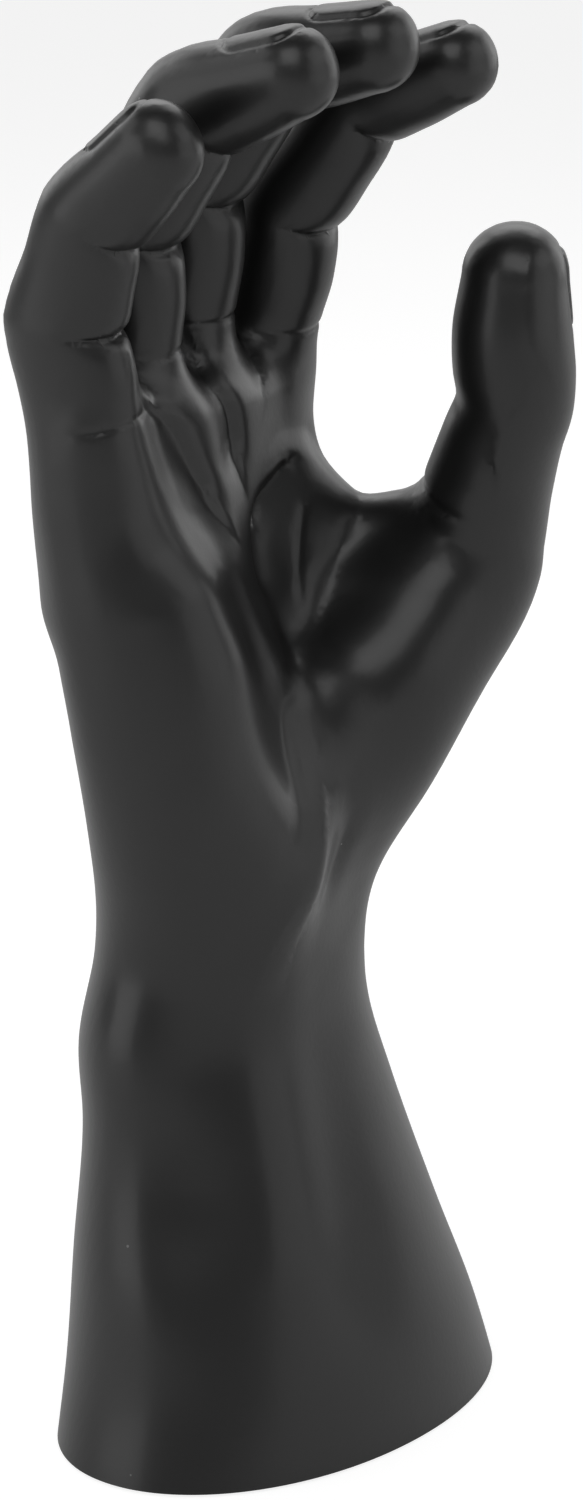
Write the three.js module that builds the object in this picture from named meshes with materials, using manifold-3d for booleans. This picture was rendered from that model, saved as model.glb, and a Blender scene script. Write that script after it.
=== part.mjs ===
// Hand mannequin: a right hand that stands on its forearm, fingers and thumb curled as if round a bottle.
// Millimetres. +Z is up, the palm faces -Y, the thumb side is +X.
// The origin is on the surface that the hand stands on, under the middle of its oval foot.
import * as THREE from "three";
import { mergeVertices } from "three/addons/utils/BufferGeometryUtils.js";
import Module from "manifold-3d";

// Foot: the oval cut end of the forearm, and the parts that close it
const footHalfWidth = 51;
const footHalfDepth = 33;
const footTurn = -5;
const footFlareHeight = 14;
const footFlareWidth = 4.2;
const footFlareDepth = 1;
const wall = 3.2;
const rimWall = 4;
const ledgeWidth = 3;
const plateThickness = 4;
const plateClearance = 0.3;
const padThickness = 2.5;
const padInset = 2;
const padDrop = 0.6;
const ballastHeight = 14;
const ballastChamfer = 1.5;
const ballastClearance = 3;
const screwCount = 4;
const screwRadius = 1.75;
const screwLength = 13;
const screwPoint = 2.5;
const screwHeadRadius = 3.5;
const screwHeadHeight = 2;
const screwDriveRadius = 1.2;
const screwDriveDepth = 1.2;
const screwClearance = 0.3;
const screwFirstAngle = 45;
const bossRadius = 5;
const bossRoof = 4;
const bossToRim = 1.5;
const cavityAboveWrist = 55;
const cavityDome = 12;

// The wrist: its height sets the length of the forearm, and the hand is modelled upward from there
const wristHeight = 91;
const wristHalfWidth = 30;

// How finely the modelled form is divided, and how far its parts melt into each other
const palmEdge = 3.5;
const hollowEdge = 9;
const flatness = 0.25;
const weld = 0.05;
const coreRadius = 0.5;
const coreSize = 0.05;
const stepsBetween = 8;
const bendSteps = 6;
const ringSides = 16;
const ringStep = 4;
const tipShares = [0.3, 0.55, 0.75, 0.9, 0.98];
const padBlend = 9;
const webBlend = 14;
const thumbBlend = 14;
const thumbBlendHigh = 4;
const thumbBlendFrom = 62;
const thumbBlendTo = 76;
const palmTopRound = 9;
const limbSquare = 2.05;
const fingerSquare = 2.15;
const roundSides = 20;

// Forearm and palm: oval sections from the cut end up to the finger webs.
// x and y place the middle, half is the half width across the hand, palm and back are the depths to either
// side of the middle, turn swings the section about the vertical, and square is 2 for a true oval.
const armSections = [
  {
    z: -6,
    x: 0.1,
    y: -0.4,
    half: footHalfWidth + 1.8,
    palm: footHalfDepth + 0.5,
    back: footHalfDepth + 0.5,
    turn: footTurn - 0.4,
    square: 2.05,
  },
  {
    z: padDrop,
    x: 0,
    y: 0,
    half: footHalfWidth,
    palm: footHalfDepth,
    back: footHalfDepth,
    turn: footTurn,
    square: 2.05,
  },
  {
    z: footFlareHeight,
    x: -0.3,
    y: 1,
    half: footHalfWidth - footFlareWidth,
    palm: footHalfDepth - footFlareDepth,
    back: footHalfDepth - footFlareDepth,
    turn: -4,
    square: 2.05,
  },
  { z: 35, x: -1.7, y: 3.5, half: 41, palm: 29, back: 29.3, turn: -3, square: 2 },
  { z: wristHeight - 31, x: -3, y: 6.5, half: 35, palm: 24.7, back: 25, turn: -1, square: 2 },
  { z: wristHeight - 18, x: -4.2, y: 8.2, half: 33, palm: 23.3, back: 24, turn: 0, square: 2 },
  { z: wristHeight, x: -5, y: 7.8, half: wristHalfWidth, palm: 21.9, back: 20.8, turn: 0, square: 2 },
  { z: wristHeight + 21, x: -6, y: 9.5, half: 31.5, palm: 18, back: 17.8, turn: 3, square: 2.1 },
  { z: wristHeight + 44, x: -6.5, y: 13, half: 36.5, palm: 17, back: 15.2, turn: 6, square: 2.3 },
  { z: wristHeight + 69, x: -7.5, y: 16.5, half: 41, palm: 14.5, back: 14.5, turn: 7, square: 2.5 },
  { z: wristHeight + 89, x: -8, y: 17, half: 40, palm: 13, back: 12.5, turn: 5, square: 2.5 },
  { z: wristHeight + 101, x: -8.5, y: 15, half: 37, palm: 10.5, back: 9, turn: 4, square: 2.4 },
  { z: wristHeight + 107, x: -9.5, y: 14, half: 33, palm: 7, back: 6.5, turn: 4, square: 2.2 },
];
const palmTop = wristHeight + 106;

// The space that the hand is modelled in
const roomAcross = 70;
const roomBefore = 55;
const roomBehind = 50;
const roomAboveWrist = 180;

// Fingers, from the forefinger to the little finger. knuckle is the middle of the knuckle joint, its last
// number measured up from the wrist. bones are the lengths from joint to joint and to the middle of the
// round tip, bends are each bone's lean forward from the vertical, splay is the lean to the thumb side, and
// depths and halves are the half depth and half width at knuckle, joints and tip.
const fingers = [
  {
    knuckle: [21.4, 20.3, 88.2],
    bones: [43.3, 26.3, 19.9],
    bends: [16, 38.5, 68.5],
    splay: -6,
    depths: [11.5, 9.8, 9.2, 7.8],
    halves: [10.6, 9.5, 8.6, 7.6],
  },
  {
    knuckle: [0, 22.8, 89],
    bones: [48.3, 28.1, 21.3],
    bends: [9, 38, 79],
    splay: -6,
    depths: [11.5, 10.2, 9.7, 8.2],
    halves: [10.4, 9.3, 8.5, 7.8],
  },
  {
    knuckle: [-19.5, 18.9, 86.9],
    bones: [44.7, 27.6, 20.3],
    bends: [3, 36, 71],
    splay: -6.5,
    depths: [11, 10.7, 10.4, 8.4],
    halves: [9.8, 8.9, 8.4, 7.7],
  },
  {
    knuckle: [-37, 13.4, 81.5],
    bones: [36.2, 20.8, 18.3],
    bends: [-6, 22, 48],
    splay: -8.5,
    depths: [11.6, 11.3, 9.9, 8.8],
    halves: [9, 7.8, 7.5, 7],
  },
];
const knuckleRoot = 14;
const jointBend = 6.5;
const jointBendShare = 0.42;
const rootPalmShare = 0.92;

// A finger's form between its joints: the bone and the share of it passed, then what the half width, the
// depth to the back and the depth to the palm are multiplied by there.
const fingerForm = [
  [0, 1, 1, 0.92],
  [0.28, 0.96, 0.93, 0.93],
  [0.5, 0.94, 0.9, 0.92],
  [0.75, 0.96, 0.91, 1.05],
  [0.93, 1, 0.98, 0.98],
  [1, 1.02, 1.01, 0.88],
  [1.09, 1, 0.98, 0.97],
  [1.5, 0.95, 0.9, 1.04],
  [1.88, 0.99, 0.95, 0.97],
  [2, 1.01, 0.98, 0.87],
  [2.12, 1, 0.96, 0.98],
  [2.5, 1.01, 0.9, 1.05],
  [3, 1, 0.9, 1],
];

// Thumb, the pads at the heel and the wrist, and the web behind the thumb: points on each middle line, the
// last number measured up from the wrist, with the half width and the depths to the back and to the palm.
const thumbLine = [
  { at: [3, 4, 5], half: 12, back: 12, palm: 12 },
  { at: [11, -1.5, 21], half: 15.8, back: 15.8, palm: 15.8 },
  { at: [23, -10.5, 44], half: 16, back: 15.5, palm: 15.5 },
  { at: [34.5, -19.5, 64], half: 12.7, back: 12.8, palm: 12.8 },
  { at: [33.3, -25, 81], half: 11.5, back: 11.2, palm: 11.4 },
  { at: [29.2, -30.5, 97], half: 11.6, back: 11.8, palm: 11.8 },
  { at: [28.1, -31.8, 109], half: 11.4, back: 10.6, palm: 11.2 },
  { at: [27.6, -32.4, 119], half: 10, back: 9.2, palm: 9.8 },
];
const heelLine = [
  { at: [-18, 4, 7], half: 11, back: 11, palm: 11 },
  { at: [-24, 2, 23], half: 14, back: 14, palm: 14 },
  { at: [-29, 4, 44], half: 12.5, back: 12.5, palm: 13.5 },
  { at: [-32, 8, 65], half: 10.8, back: 11, palm: 12 },
];
const wristLine = [
  { at: [-14, -0.5, 2], half: 8, back: 9, palm: 9 },
  { at: [-7, -2.5, 14], half: 9, back: 10, palm: 10 },
  { at: [-2, -4, 26], half: 8.5, back: 9.5, palm: 9.5 },
  { at: [2, -2.5, 38], half: 7, back: 8, palm: 8 },
];
const webLine = [
  { at: [17, 11, 69], half: 14, back: 9, palm: 9 },
  { at: [25, 1, 63.2], half: 13, back: 8.5, palm: 8.5 },
  { at: [32, -13, 65], half: 12.5, back: 9, palm: 9 },
];
const thumbTip = 9.4;
const heelTip = 12;
const wristTip = 8;
const webTip = 11;

// Swells and furrows under the skin: points on each line, the last number measured up from the wrist, how
// high its middle stands, which is below zero for a furrow, how far it reaches to either side, and over what
// length it fades out at its ends.
const swells = [
  // The pads under the fingers
  { height: 1.2, reach: 4, fade: 5, line: [[-37, 4.5, 102], [-29.5, 3.5, 93], [-21, 2.5, 83]] },
  { height: 1.2, reach: 4, fade: 5, line: [[-10.5, 13, 108], [-13, 4.5, 96], [-11.5, 3.5, 84]] },
  { height: 1, reach: 4.5, fade: 8, line: [[12.5, 7, 105], [14.5, 6, 90]] },
  // The life line: round the top of the ball of the thumb, then down to the wrist
  {
    height: -2.2,
    reach: 3.2,
    fade: 9,
    line: [
      [15.5, 4.5, 86],
      [7.5, 4, 82.5],
      [0.5, 4, 79],
      [-3, 3, 74.5],
      [0.5, 0.5, 58],
      [-1, -4, 50],
      [-3, -14.5, 34],
    ],
  },
  // The ridges to either side of the life line
  {
    height: 1.6,
    reach: 5.5,
    fade: 16,
    line: [[-14.5, 2, 76], [-7, -1, 57], [-5.5, -5, 46.5], [-6.5, -10, 38]],
  },
  {
    height: 1.8,
    reach: 4.5,
    fade: 10,
    line: [[13.5, 1, 77], [10.5, 0, 67], [7.5, -3, 55], [1.5, -16, 36.5]],
  },
  // The bone of the thumb, and the hollow between it and the palm
  {
    height: 2.2,
    reach: 8,
    fade: 16,
    line: [[21, -33, 85], [21.5, -24.5, 71.5], [18.5, -22, 60.5], [3.5, -16.5, 40.5]],
  },
  { height: -1.5, reach: 9, fade: 1, line: [[15.5, -13, 60], [15.5, -13, 64]] },
  // The heel of the palm
  {
    height: 1.6,
    reach: 7,
    fade: 14,
    line: [[-39.5, 0.5, 76], [-34.5, -4, 67], [-27.5, -7, 56.5], [-19, -7, 46.5]],
  },
  // The bulge of the inner wrist, and the hollow beside it
  {
    height: 2.6,
    reach: 6.5,
    fade: 20,
    line: [[-7.5, -10.5, 35.5], [-7, -14.5, 26], [-9, -14.5, 16], [-18.5, -13, -1]],
  },
  { height: -1.6, reach: 6, fade: 16, line: [[-25.5, -12, 32.5], [-25, -11.5, 18], [-24, -10, 3]] },
  // The forearm: a furrow between the outer bone and the tendons
  {
    height: -3,
    reach: 7.5,
    fade: 22,
    line: [[-31.5, -4, 3], [-32, -3.5, -13], [-34, -5, -30.5], [-38.5, -10, -60]],
  },
  {
    height: 1.6,
    reach: 10,
    fade: 22,
    line: [[-35.5, 7.5, -4.5], [-37.5, 5.5, -22], [-41, 3.5, -49], [-46, -1, -74.5]],
  },
  {
    height: 2.4,
    reach: 11,
    fade: 30,
    line: [[-27.5, -7, -6], [-26, -11, -26.5], [-24.5, -17, -46.5], [-20.5, -25, -67.5]],
  },
];

const finishes = {
  shell: { color: 0x1d1d1f, roughness: 0.42, metalness: 0 },
  plate: { color: 0x2a2a2c, roughness: 0.7, metalness: 0 },
  ballast: { color: 0x4a4a4d, roughness: 0.75, metalness: 0.6 },
  screw: { color: 0xb4b6b8, roughness: 0.35, metalness: 1 },
  pad: { color: 0x151515, roughness: 0.9, metalness: 0 },
};

const wasm = await Module();
wasm.setup();

const radians = THREE.MathUtils.degToRad;

// A three.js geometry as a solid that can be joined and cut
function solidOf(geometry) {
  const bare = geometry.clone();
  bare.deleteAttribute("normal");
  bare.deleteAttribute("uv");
  const merged = mergeVertices(bare, 1e-4);
  const corners = merged.index.array;
  const kept = [];
  for (let i = 0; i < corners.length; i += 3) {
    const [a, b, c] = [corners[i], corners[i + 1], corners[i + 2]];
    if (a !== b && b !== c && c !== a) {
      kept.push(a, b, c);
    }
  }
  return new wasm.Manifold(new wasm.Mesh({
    numProp: 3,
    vertProperties: new Float32Array(merged.attributes.position.array),
    triVerts: new Uint32Array(kept),
  }));
}

// A solid as a three.js geometry
function geometryOf(solid) {
  const mesh = solid.getMesh();
  const geometry = new THREE.BufferGeometry();
  geometry.setAttribute("position", new THREE.BufferAttribute(new Float32Array(mesh.vertProperties), 3));
  geometry.setIndex(new THREE.BufferAttribute(new Uint32Array(mesh.triVerts), 1));
  geometry.computeVertexNormals();
  return geometry;
}

// A skin over rings of points, closed by a fan over the first and the last ring
function loft(rings) {
  const sides = rings[0].length;
  const points = rings.flat();
  const faces = [];
  for (let r = 0; r + 1 < rings.length; r += 1) {
    for (let s = 0; s < sides; s += 1) {
      const here = r * sides + s;
      const beside = r * sides + (s + 1) % sides;
      faces.push(here, beside, beside + sides);
      faces.push(here, beside + sides, here + sides);
    }
  }
  for (const [ring, first] of [[rings[0], 0], [rings.at(-1), (rings.length - 1) * sides]]) {
    const middle = ring.reduce((sum, p) => sum.add(p), new THREE.Vector3()).divideScalar(sides);
    const centre = points.push(middle) - 1;
    for (let s = 0; s < sides; s += 1) {
      const here = first + s;
      const beside = first + (s + 1) % sides;
      faces.push(centre, ...(first === 0 ? [beside, here] : [here, beside]));
    }
  }
  const geometry = new THREE.BufferGeometry().setFromPoints(points);
  geometry.setIndex(faces);
  return geometry;
}

// A smooth run of rows of values through the given stations, with each slope taken from its neighbours
function smooth(places, rows) {
  const last = places.length - 1;
  const slopes = rows.map((row, i) => {
    const before = Math.max(i - 1, 0);
    const after = Math.min(i + 1, last);
    return row.map((_, k) => (rows[after][k] - rows[before][k]) / (places[after] - places[before]));
  });
  return (place) => {
    const where = Math.min(Math.max(place, places[0]), places[last]);
    let i = 0;
    while (i < last - 1 && where > places[i + 1]) {
      i += 1;
    }
    const gap = places[i + 1] - places[i];
    const t = (where - places[i]) / gap;
    const near = (1 + 2 * t) * (1 - t) ** 2;
    const leave = t * (1 - t) ** 2 * gap;
    const arrive = t * t * (t - 1) * gap;
    return rows[i].map((value, k) => (
      value * near + rows[i + 1][k] * (1 - near) + slopes[i][k] * leave + slopes[i + 1][k] * arrive
    ));
  };
}

// Values from low to high in steps of about the given size, both ends included
function stepped(low, high, step) {
  const count = Math.max(1, Math.round((high - low) / step));
  return Array.from({ length: count + 1 }, (_, i) => low + ((high - low) * i) / count);
}

// Forearm, palm and thumb are modelled as distances, which are below zero inside a form and above zero
// outside it. This is the larger of two distances, with the corner between them rounded over the reach.
function smoothMost(a, b, reach) {
  const near = Math.max(reach - Math.abs(a - b), 0) / reach;
  return Math.max(a, b) + (near * near * reach) / 4;
}

// The smaller of two distances, so that two forms melt into each other over the given reach
function smoothLeast(a, b, reach) {
  return -smoothMost(-a, -b, reach);
}

// Distance to the forearm and palm, to first order
const armKeys = ["x", "y", "half", "palm", "back", "turn", "square"];
const armAt = smooth(armSections.map((s) => s.z), armSections.map((s) => armKeys.map((k) => s[k])));

function armDistance([px, py, pz]) {
  const [x, y, half, palm, back, turn, square] = armAt(pz);
  const offset = new THREE.Vector2(px - x, py - y).rotateAround(new THREE.Vector2(), -radians(turn));
  const depth = offset.y > 0 ? back : palm;
  const u = Math.abs(offset.x) / half;
  const v = Math.abs(offset.y) / depth;
  const size = Math.max(u ** square + v ** square, 1e-9) ** (1 / square);
  const slopeU = (u / size) ** (square - 1) / half;
  const slopeV = (v / size) ** (square - 1) / depth;
  const body = (size - 1) / Math.max(Math.hypot(slopeU, slopeV), 1 / (2 * half));
  return smoothMost(body, pz - palmTop, palmTopRound);
}

// A limb: a section that travels along a bent middle line and closes in a round tip. Each row gives how far
// along the line it is, the half width, and the depths to the back and to the palm.
class Limb {
  constructor(points, side, rows, tip, square) {
    this.points = points;
    this.side = side;
    this.sizes = smooth(rows.map((row) => row[0]), rows.map((row) => row.slice(1)));
    this.tip = tip;
    this.square = square;
    this.along = [0];
    this.ways = [];
    points.slice(1).forEach((point, i) => {
      this.along.push(this.along[i] + point.distanceTo(points[i]));
      this.ways.push(point.clone().sub(points[i]).normalize());
    });
    const reach = Math.max(...rows.flatMap((row) => row.slice(1))) + webBlend;
    this.space = new THREE.Box3().setFromPoints(points).expandByScalar(reach);
  }

  distance(place) {
    const p = new THREE.Vector3(...place);
    if (!this.space.containsPoint(p)) {
      return Infinity;
    }
    let least = Infinity;
    let found = null;
    const last = this.ways.length - 1;
    this.ways.forEach((way, i) => {
      const length = this.along[i + 1] - this.along[i];
      const rel = p.clone().sub(this.points[i]);
      const run = rel.dot(way);
      const t = Math.min(Math.max(run, 0), length);
      rel.addScaledVector(way, -t);
      if (rel.lengthSq() < least) {
        least = rel.lengthSq();
        found = { i, t, share: t / length, rel, beyond: 0 };
        if (i === 0 && run < 0) {
          found.beyond = run;
        }
        if (i === last && run > length) {
          found.beyond = run - length;
        }
      }
    });
    const way = this.wayAt(found.i).lerp(this.wayAt(found.i + 1), found.share).normalize();
    const slip = found.beyond === 0 ? found.rel.dot(way) : 0;
    found.rel.addScaledVector(way, -slip);
    const wide = this.side.clone().addScaledVector(way, -this.side.dot(way)).normalize();
    const across = found.rel.dot(wide);
    const deep = found.rel.dot(way.clone().cross(wide));
    const [half, back, palm] = this.sizes(this.along[found.i] + found.t + slip);
    const size = (
      Math.abs(across / half) ** this.square
      + Math.abs(deep / (deep > 0 ? back : palm)) ** this.square
      + Math.abs(found.beyond / (found.beyond > 0 ? this.tip : half)) ** this.square
    ) ** (1 / this.square);
    const far = Math.max(Math.hypot(across, deep, found.beyond), coreRadius);
    return far * (1 - 1 / Math.max(size, coreSize));
  }

  // The limb's skin: rings along its line, then rings that close its round tip
  skin() {
    const length = this.along.at(-1);
    const rings = stepped(0, length, ringStep).map((along) => this.ring(along, 0));
    for (const share of tipShares) {
      rings.push(this.ring(length, share));
    }
    return loft(rings);
  }

  // One ring of the skin, at a distance along the line and a share of the tip's length past its end
  ring(along, share) {
    let i = 0;
    while (i < this.ways.length - 1 && along > this.along[i + 1]) {
      i += 1;
    }
    const passed = (along - this.along[i]) / (this.along[i + 1] - this.along[i]);
    const way = this.wayAt(i).lerp(this.wayAt(i + 1), passed).normalize();
    const middle = this.points[i].clone().lerp(this.points[i + 1], passed);
    middle.addScaledVector(way, share * this.tip);
    const wide = this.side.clone().addScaledVector(way, -this.side.dot(way)).normalize();
    const deep = way.clone().cross(wide);
    const [half, back, palm] = this.sizes(along);
    const shrink = (1 - share ** this.square) ** (1 / this.square);
    const bulge = (value) => Math.sign(value) * Math.abs(value) ** (2 / this.square);
    const points = [];
    for (let s = 0; s < ringSides; s += 1) {
      const angle = (2 * Math.PI * s) / ringSides;
      const depth = Math.sin(angle) > 0 ? back : palm;
      points.push(middle.clone()
        .addScaledVector(wide, bulge(Math.cos(angle)) * half * shrink)
        .addScaledVector(deep, bulge(Math.sin(angle)) * depth * shrink));
    }
    return points;
  }

  // The line's direction at one of its points
  wayAt(i) {
    const before = this.ways[Math.max(i - 1, 0)];
    const after = this.ways[Math.min(i, this.ways.length - 1)];
    return before.clone().add(after).normalize();
  }
}

// The length of a line through points
function lengthOf(points) {
  return points.slice(1).reduce((sum, point, i) => sum + point.distanceTo(points[i]), 0);
}

// A limb whose middle line runs smoothly through its stations
function limbThrough(line, side, tip) {
  const upward = new THREE.Vector3(0, 0, wristHeight);
  const stations = line.map((s) => new THREE.Vector3(...s.at).add(upward));
  const along = [0];
  stations.slice(1).forEach((point, i) => along.push(along[i] + point.distanceTo(stations[i])));
  const curve = smooth(along, stations.map((point) => point.toArray()));
  const length = along.at(-1);
  const count = stepsBetween * (line.length - 1);
  const points = [];
  for (let i = 0; i <= count; i += 1) {
    points.push(new THREE.Vector3(...curve((length * i) / count)));
  }
  const stretch = lengthOf(points) / length;
  const rows = line.map((s, i) => [along[i] * stretch, s.half, s.back, s.palm]);
  return new Limb(points, side, rows, tip, limbSquare);
}

// The way a bone points: bend leans it forward over the palm, splay to the thumb side
function boneWay(bend, splay) {
  return new THREE.Vector3(
    Math.sin(radians(splay)) * Math.cos(radians(bend)),
    -Math.sin(radians(bend)),
    Math.cos(radians(splay)) * Math.cos(radians(bend)),
  );
}

// A line through joints, with each corner turned into a short curve
function softLine(joints) {
  const line = [joints[0]];
  for (let i = 1; i + 1 < joints.length; i += 1) {
    const toBefore = joints[i - 1].clone().sub(joints[i]);
    const toAfter = joints[i + 1].clone().sub(joints[i]);
    const shorter = Math.min(toBefore.length(), toAfter.length());
    const cut = Math.min(jointBend, jointBendShare * shorter);
    const start = joints[i].clone().addScaledVector(toBefore.normalize(), cut);
    const end = joints[i].clone().addScaledVector(toAfter.normalize(), cut);
    line.push(...new THREE.QuadraticBezierCurve3(start, joints[i], end).getPoints(bendSteps));
  }
  line.push(joints.at(-1));
  return line;
}

// A finger starts in the palm below its knuckle. Its rows follow the form between the joints.
function fingerLimb({ knuckle, bones, bends, splay, depths, halves }) {
  const first = new THREE.Vector3(...knuckle).add(new THREE.Vector3(0, 0, wristHeight));
  const joints = [first.clone().addScaledVector(boneWay(0, splay), -knuckleRoot), first];
  bones.forEach((length, i) => {
    joints.push(joints.at(-1).clone().addScaledVector(boneWay(bends[i], splay), length));
  });
  const points = softLine(joints);
  const shrink = lengthOf(points) / lengthOf(joints);
  const rows = [[0, halves[0], depths[0], depths[0] * rootPalmShare]];
  for (const [place, wide, behind, before] of fingerForm) {
    const bone = Math.min(Math.floor(place), bones.length - 1);
    const share = place - bone;
    const passed = bones.slice(0, bone).reduce((sum, passedBone) => sum + passedBone, knuckleRoot);
    const half = THREE.MathUtils.lerp(halves[bone], halves[bone + 1], share);
    const depth = THREE.MathUtils.lerp(depths[bone], depths[bone + 1], share);
    rows.push([(passed + share * bones[bone]) * shrink, half * wide, depth * behind, depth * before]);
  }
  const side = new THREE.Vector3(Math.cos(radians(splay)), 0, -Math.sin(radians(splay)));
  return new Limb(points, side, rows, depths.at(-1), fingerSquare);
}

const acrossHand = new THREE.Vector3(1, 0, 0);
const acrossThumb = new THREE.Vector3(-0.79, -0.61, 0);
const upright = new THREE.Vector3(0, 0, 1);
const palmPads = [
  { limb: limbThrough(heelLine, acrossHand, heelTip), blend: padBlend },
  { limb: limbThrough(wristLine, acrossHand, wristTip), blend: padBlend },
  { limb: limbThrough(webLine, upright, webTip), blend: webBlend },
];
const thumbLimb = limbThrough(thumbLine, acrossThumb, thumbTip);

// How far the swells and furrows move the surface outward at a place
const swellLines = swells.map(({ line, height, reach, fade }) => {
  const points = line.map((point) => new THREE.Vector3(...point).add(new THREE.Vector3(0, 0, wristHeight)));
  const path = new THREE.CatmullRomCurve3(points).getSpacedPoints(stepsBetween * (points.length - 1));
  const length = lengthOf(path);
  const strengths = path.map((_, i) => {
    const along = (length * i) / (path.length - 1);
    return THREE.MathUtils.smoothstep(Math.min(along, length - along), 0, fade);
  });
  const space = new THREE.Box3().setFromPoints(path).expandByScalar(3 * reach);
  return { path, strengths, height, reach, space };
});

function swellAt(place) {
  const p = new THREE.Vector3(...place);
  let total = 0;
  for (const { path, strengths, height, reach, space } of swellLines) {
    if (space.containsPoint(p)) {
      const bell = (point) => Math.exp(-p.distanceToSquared(point) / (2 * reach ** 2));
      total += height * Math.max(...path.map((point, i) => strengths[i] * bell(point)));
    }
  }
  return total;
}

// Distance to the hand without its fingers. The pads and the thumb melt into the palm.
function palmDistance(place) {
  let palm = armDistance(place);
  for (const { limb, blend } of palmPads) {
    palm = smoothLeast(palm, limb.distance(place), blend);
  }
  const rise = THREE.MathUtils.smoothstep(place[2] - wristHeight, thumbBlendFrom, thumbBlendTo);
  const reach = THREE.MathUtils.lerp(thumbBlend, thumbBlendHigh, rise);
  palm = smoothLeast(palm, thumbLimb.distance(place), reach);
  return palm - swellAt(place);
}

// The surface where a distance is zero, from the height low upward, as a solid. The grid that it is found on
// hangs from the top, so that a longer forearm leaves the hand as it is.
function modelled(distance, edge, low) {
  const top = wristHeight + roomAboveWrist;
  const layers = Math.ceil((top - low) / edge) + 1;
  const room = {
    min: [-roomAcross, -roomBefore, top - layers * edge],
    max: [roomAcross, roomBehind, top],
  };
  const solid = wasm.Manifold.levelSet((place) => -distance(place), room, edge);
  return solid.trimByPlane([0, 0, 1], low).asOriginal().simplify(flatness);
}

// Places of the base screws, on an oval inside the foot's rim
const seatHalfWidth = footHalfWidth - rimWall;
const seatHalfDepth = footHalfDepth - rimWall;
const screwRing = {
  halfWidth: seatHalfWidth - bossRadius - bossToRim,
  halfDepth: seatHalfDepth - bossRadius - bossToRim,
};
const screwPlaces = Array.from({ length: screwCount }, (_, i) => {
  const angle = radians(screwFirstAngle + (360 * i) / screwCount);
  const { halfWidth, halfDepth } = screwRing;
  const place = new THREE.Vector2(halfWidth * Math.cos(angle), halfDepth * Math.sin(angle));
  return place.rotateAround(new THREE.Vector2(), radians(footTurn));
});
const plateUnder = padThickness;
const plateTop = plateUnder + plateThickness;
const bossTop = plateUnder + screwLength + bossRoof;

// A round boss that hangs inside the shell over one screw
function screwBoss(place) {
  const height = bossTop - plateTop;
  const boss = new THREE.CylinderGeometry(bossRadius, bossRadius, height, roundSides);
  boss.rotateX(Math.PI / 2);
  return solidOf(boss.translate(place.x, place.y, plateTop + height / 2));
}

// An upright oval slab from low, turned with the foot, with an optional chamfer round its edges
function ovalSlab(halfWidth, halfDepth, low, height, chamfer = 0) {
  const outline = new THREE.Shape();
  outline.absellipse(0, 0, halfWidth - chamfer, halfDepth - chamfer, 0, 2 * Math.PI);
  const slab = new THREE.ExtrudeGeometry(outline, {
    depth: height - 2 * chamfer,
    curveSegments: roundSides,
    bevelEnabled: chamfer > 0,
    bevelSize: chamfer,
    bevelThickness: chamfer,
    bevelSegments: 1,
  });
  slab.translate(0, 0, low + chamfer);
  slab.rotateZ(radians(footTurn));
  return slab;
}

// The hollow in the forearm and palm follows the outside. The wall is thicker beside the bosses, where it
// is the ledge over the base plate's seat.
function hollow() {
  const cavityTop = wristHeight + cavityAboveWrist;
  const inside = modelled((place) => {
    const aboveBoss = THREE.MathUtils.clamp((place[2] - bossTop) / ledgeWidth, 0, 1);
    const inset = THREE.MathUtils.lerp(rimWall + ledgeWidth, wall, aboveBoss);
    const body = armDistance(place) - Math.min(swellAt(place), 0);
    return smoothMost(body + inset, place[2] - cavityTop, cavityDome);
  }, hollowEdge, plateTop);
  const seat = ovalSlab(seatHalfWidth, seatHalfDepth, -padDrop, plateTop + padDrop);
  return inside.add(solidOf(seat));
}

function handShell() {
  let inside = hollow();
  for (const place of screwPlaces) {
    inside = inside.subtract(screwBoss(place));
  }
  let solid = modelled(palmDistance, palmEdge, padDrop);
  for (const finger of fingers) {
    solid = solid.add(solidOf(fingerLimb(finger).skin()));
  }
  solid = solid.subtract(inside);
  for (const place of screwPlaces) {
    solid = solid.subtract(screwHole(place));
  }
  return geometryOf(solid.asOriginal().simplify(weld));
}

// An outline of radius and height pairs, from axis to axis, turned about the upright axis
function turned(outline) {
  const points = outline.map(([radius, height]) => new THREE.Vector2(radius, height));
  return new THREE.LatheGeometry(points, roundSides).rotateX(Math.PI / 2);
}

// A countersunk screw that stands on its head, with a round drive socket in it
function screwBody() {
  return turned([
    [0, screwDriveDepth],
    [screwDriveRadius, screwDriveDepth],
    [screwDriveRadius, 0],
    [screwHeadRadius, 0],
    [screwRadius, screwHeadHeight],
    [screwRadius, screwLength - screwPoint],
    [0, screwLength],
  ]);
}

// The countersunk hole that one screw goes into
function screwHole(place) {
  const head = screwHeadRadius + screwClearance;
  const shaft = screwRadius + screwClearance;
  const hole = turned([
    [0, -screwClearance],
    [head, -screwClearance],
    [head, 0],
    [shaft, screwHeadHeight],
    [shaft, screwLength + screwClearance],
    [0, screwLength + screwClearance],
  ]);
  return solidOf(hole.translate(place.x, place.y, plateUnder));
}

function basePlate() {
  const halfWidth = seatHalfWidth - plateClearance;
  const halfDepth = seatHalfDepth - plateClearance;
  let solid = solidOf(ovalSlab(halfWidth, halfDepth, plateUnder, plateThickness));
  for (const place of screwPlaces) {
    solid = solid.subtract(screwHole(place));
  }
  return geometryOf(solid);
}

function ballastBlock() {
  const halfWidth = screwRing.halfWidth - bossRadius - ballastClearance;
  const halfDepth = screwRing.halfDepth - bossRadius - ballastClearance;
  return ovalSlab(halfWidth, halfDepth, plateTop, ballastHeight, ballastChamfer);
}

function footPad() {
  return ovalSlab(seatHalfWidth - padInset, seatHalfDepth - padInset, 0, padThickness);
}

const hand = new THREE.Group();

function addPiece(name, geometry, finish) {
  const piece = new THREE.Mesh(geometry, new THREE.MeshStandardMaterial(finish));
  piece.name = name;
  hand.add(piece);
  return piece;
}

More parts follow.
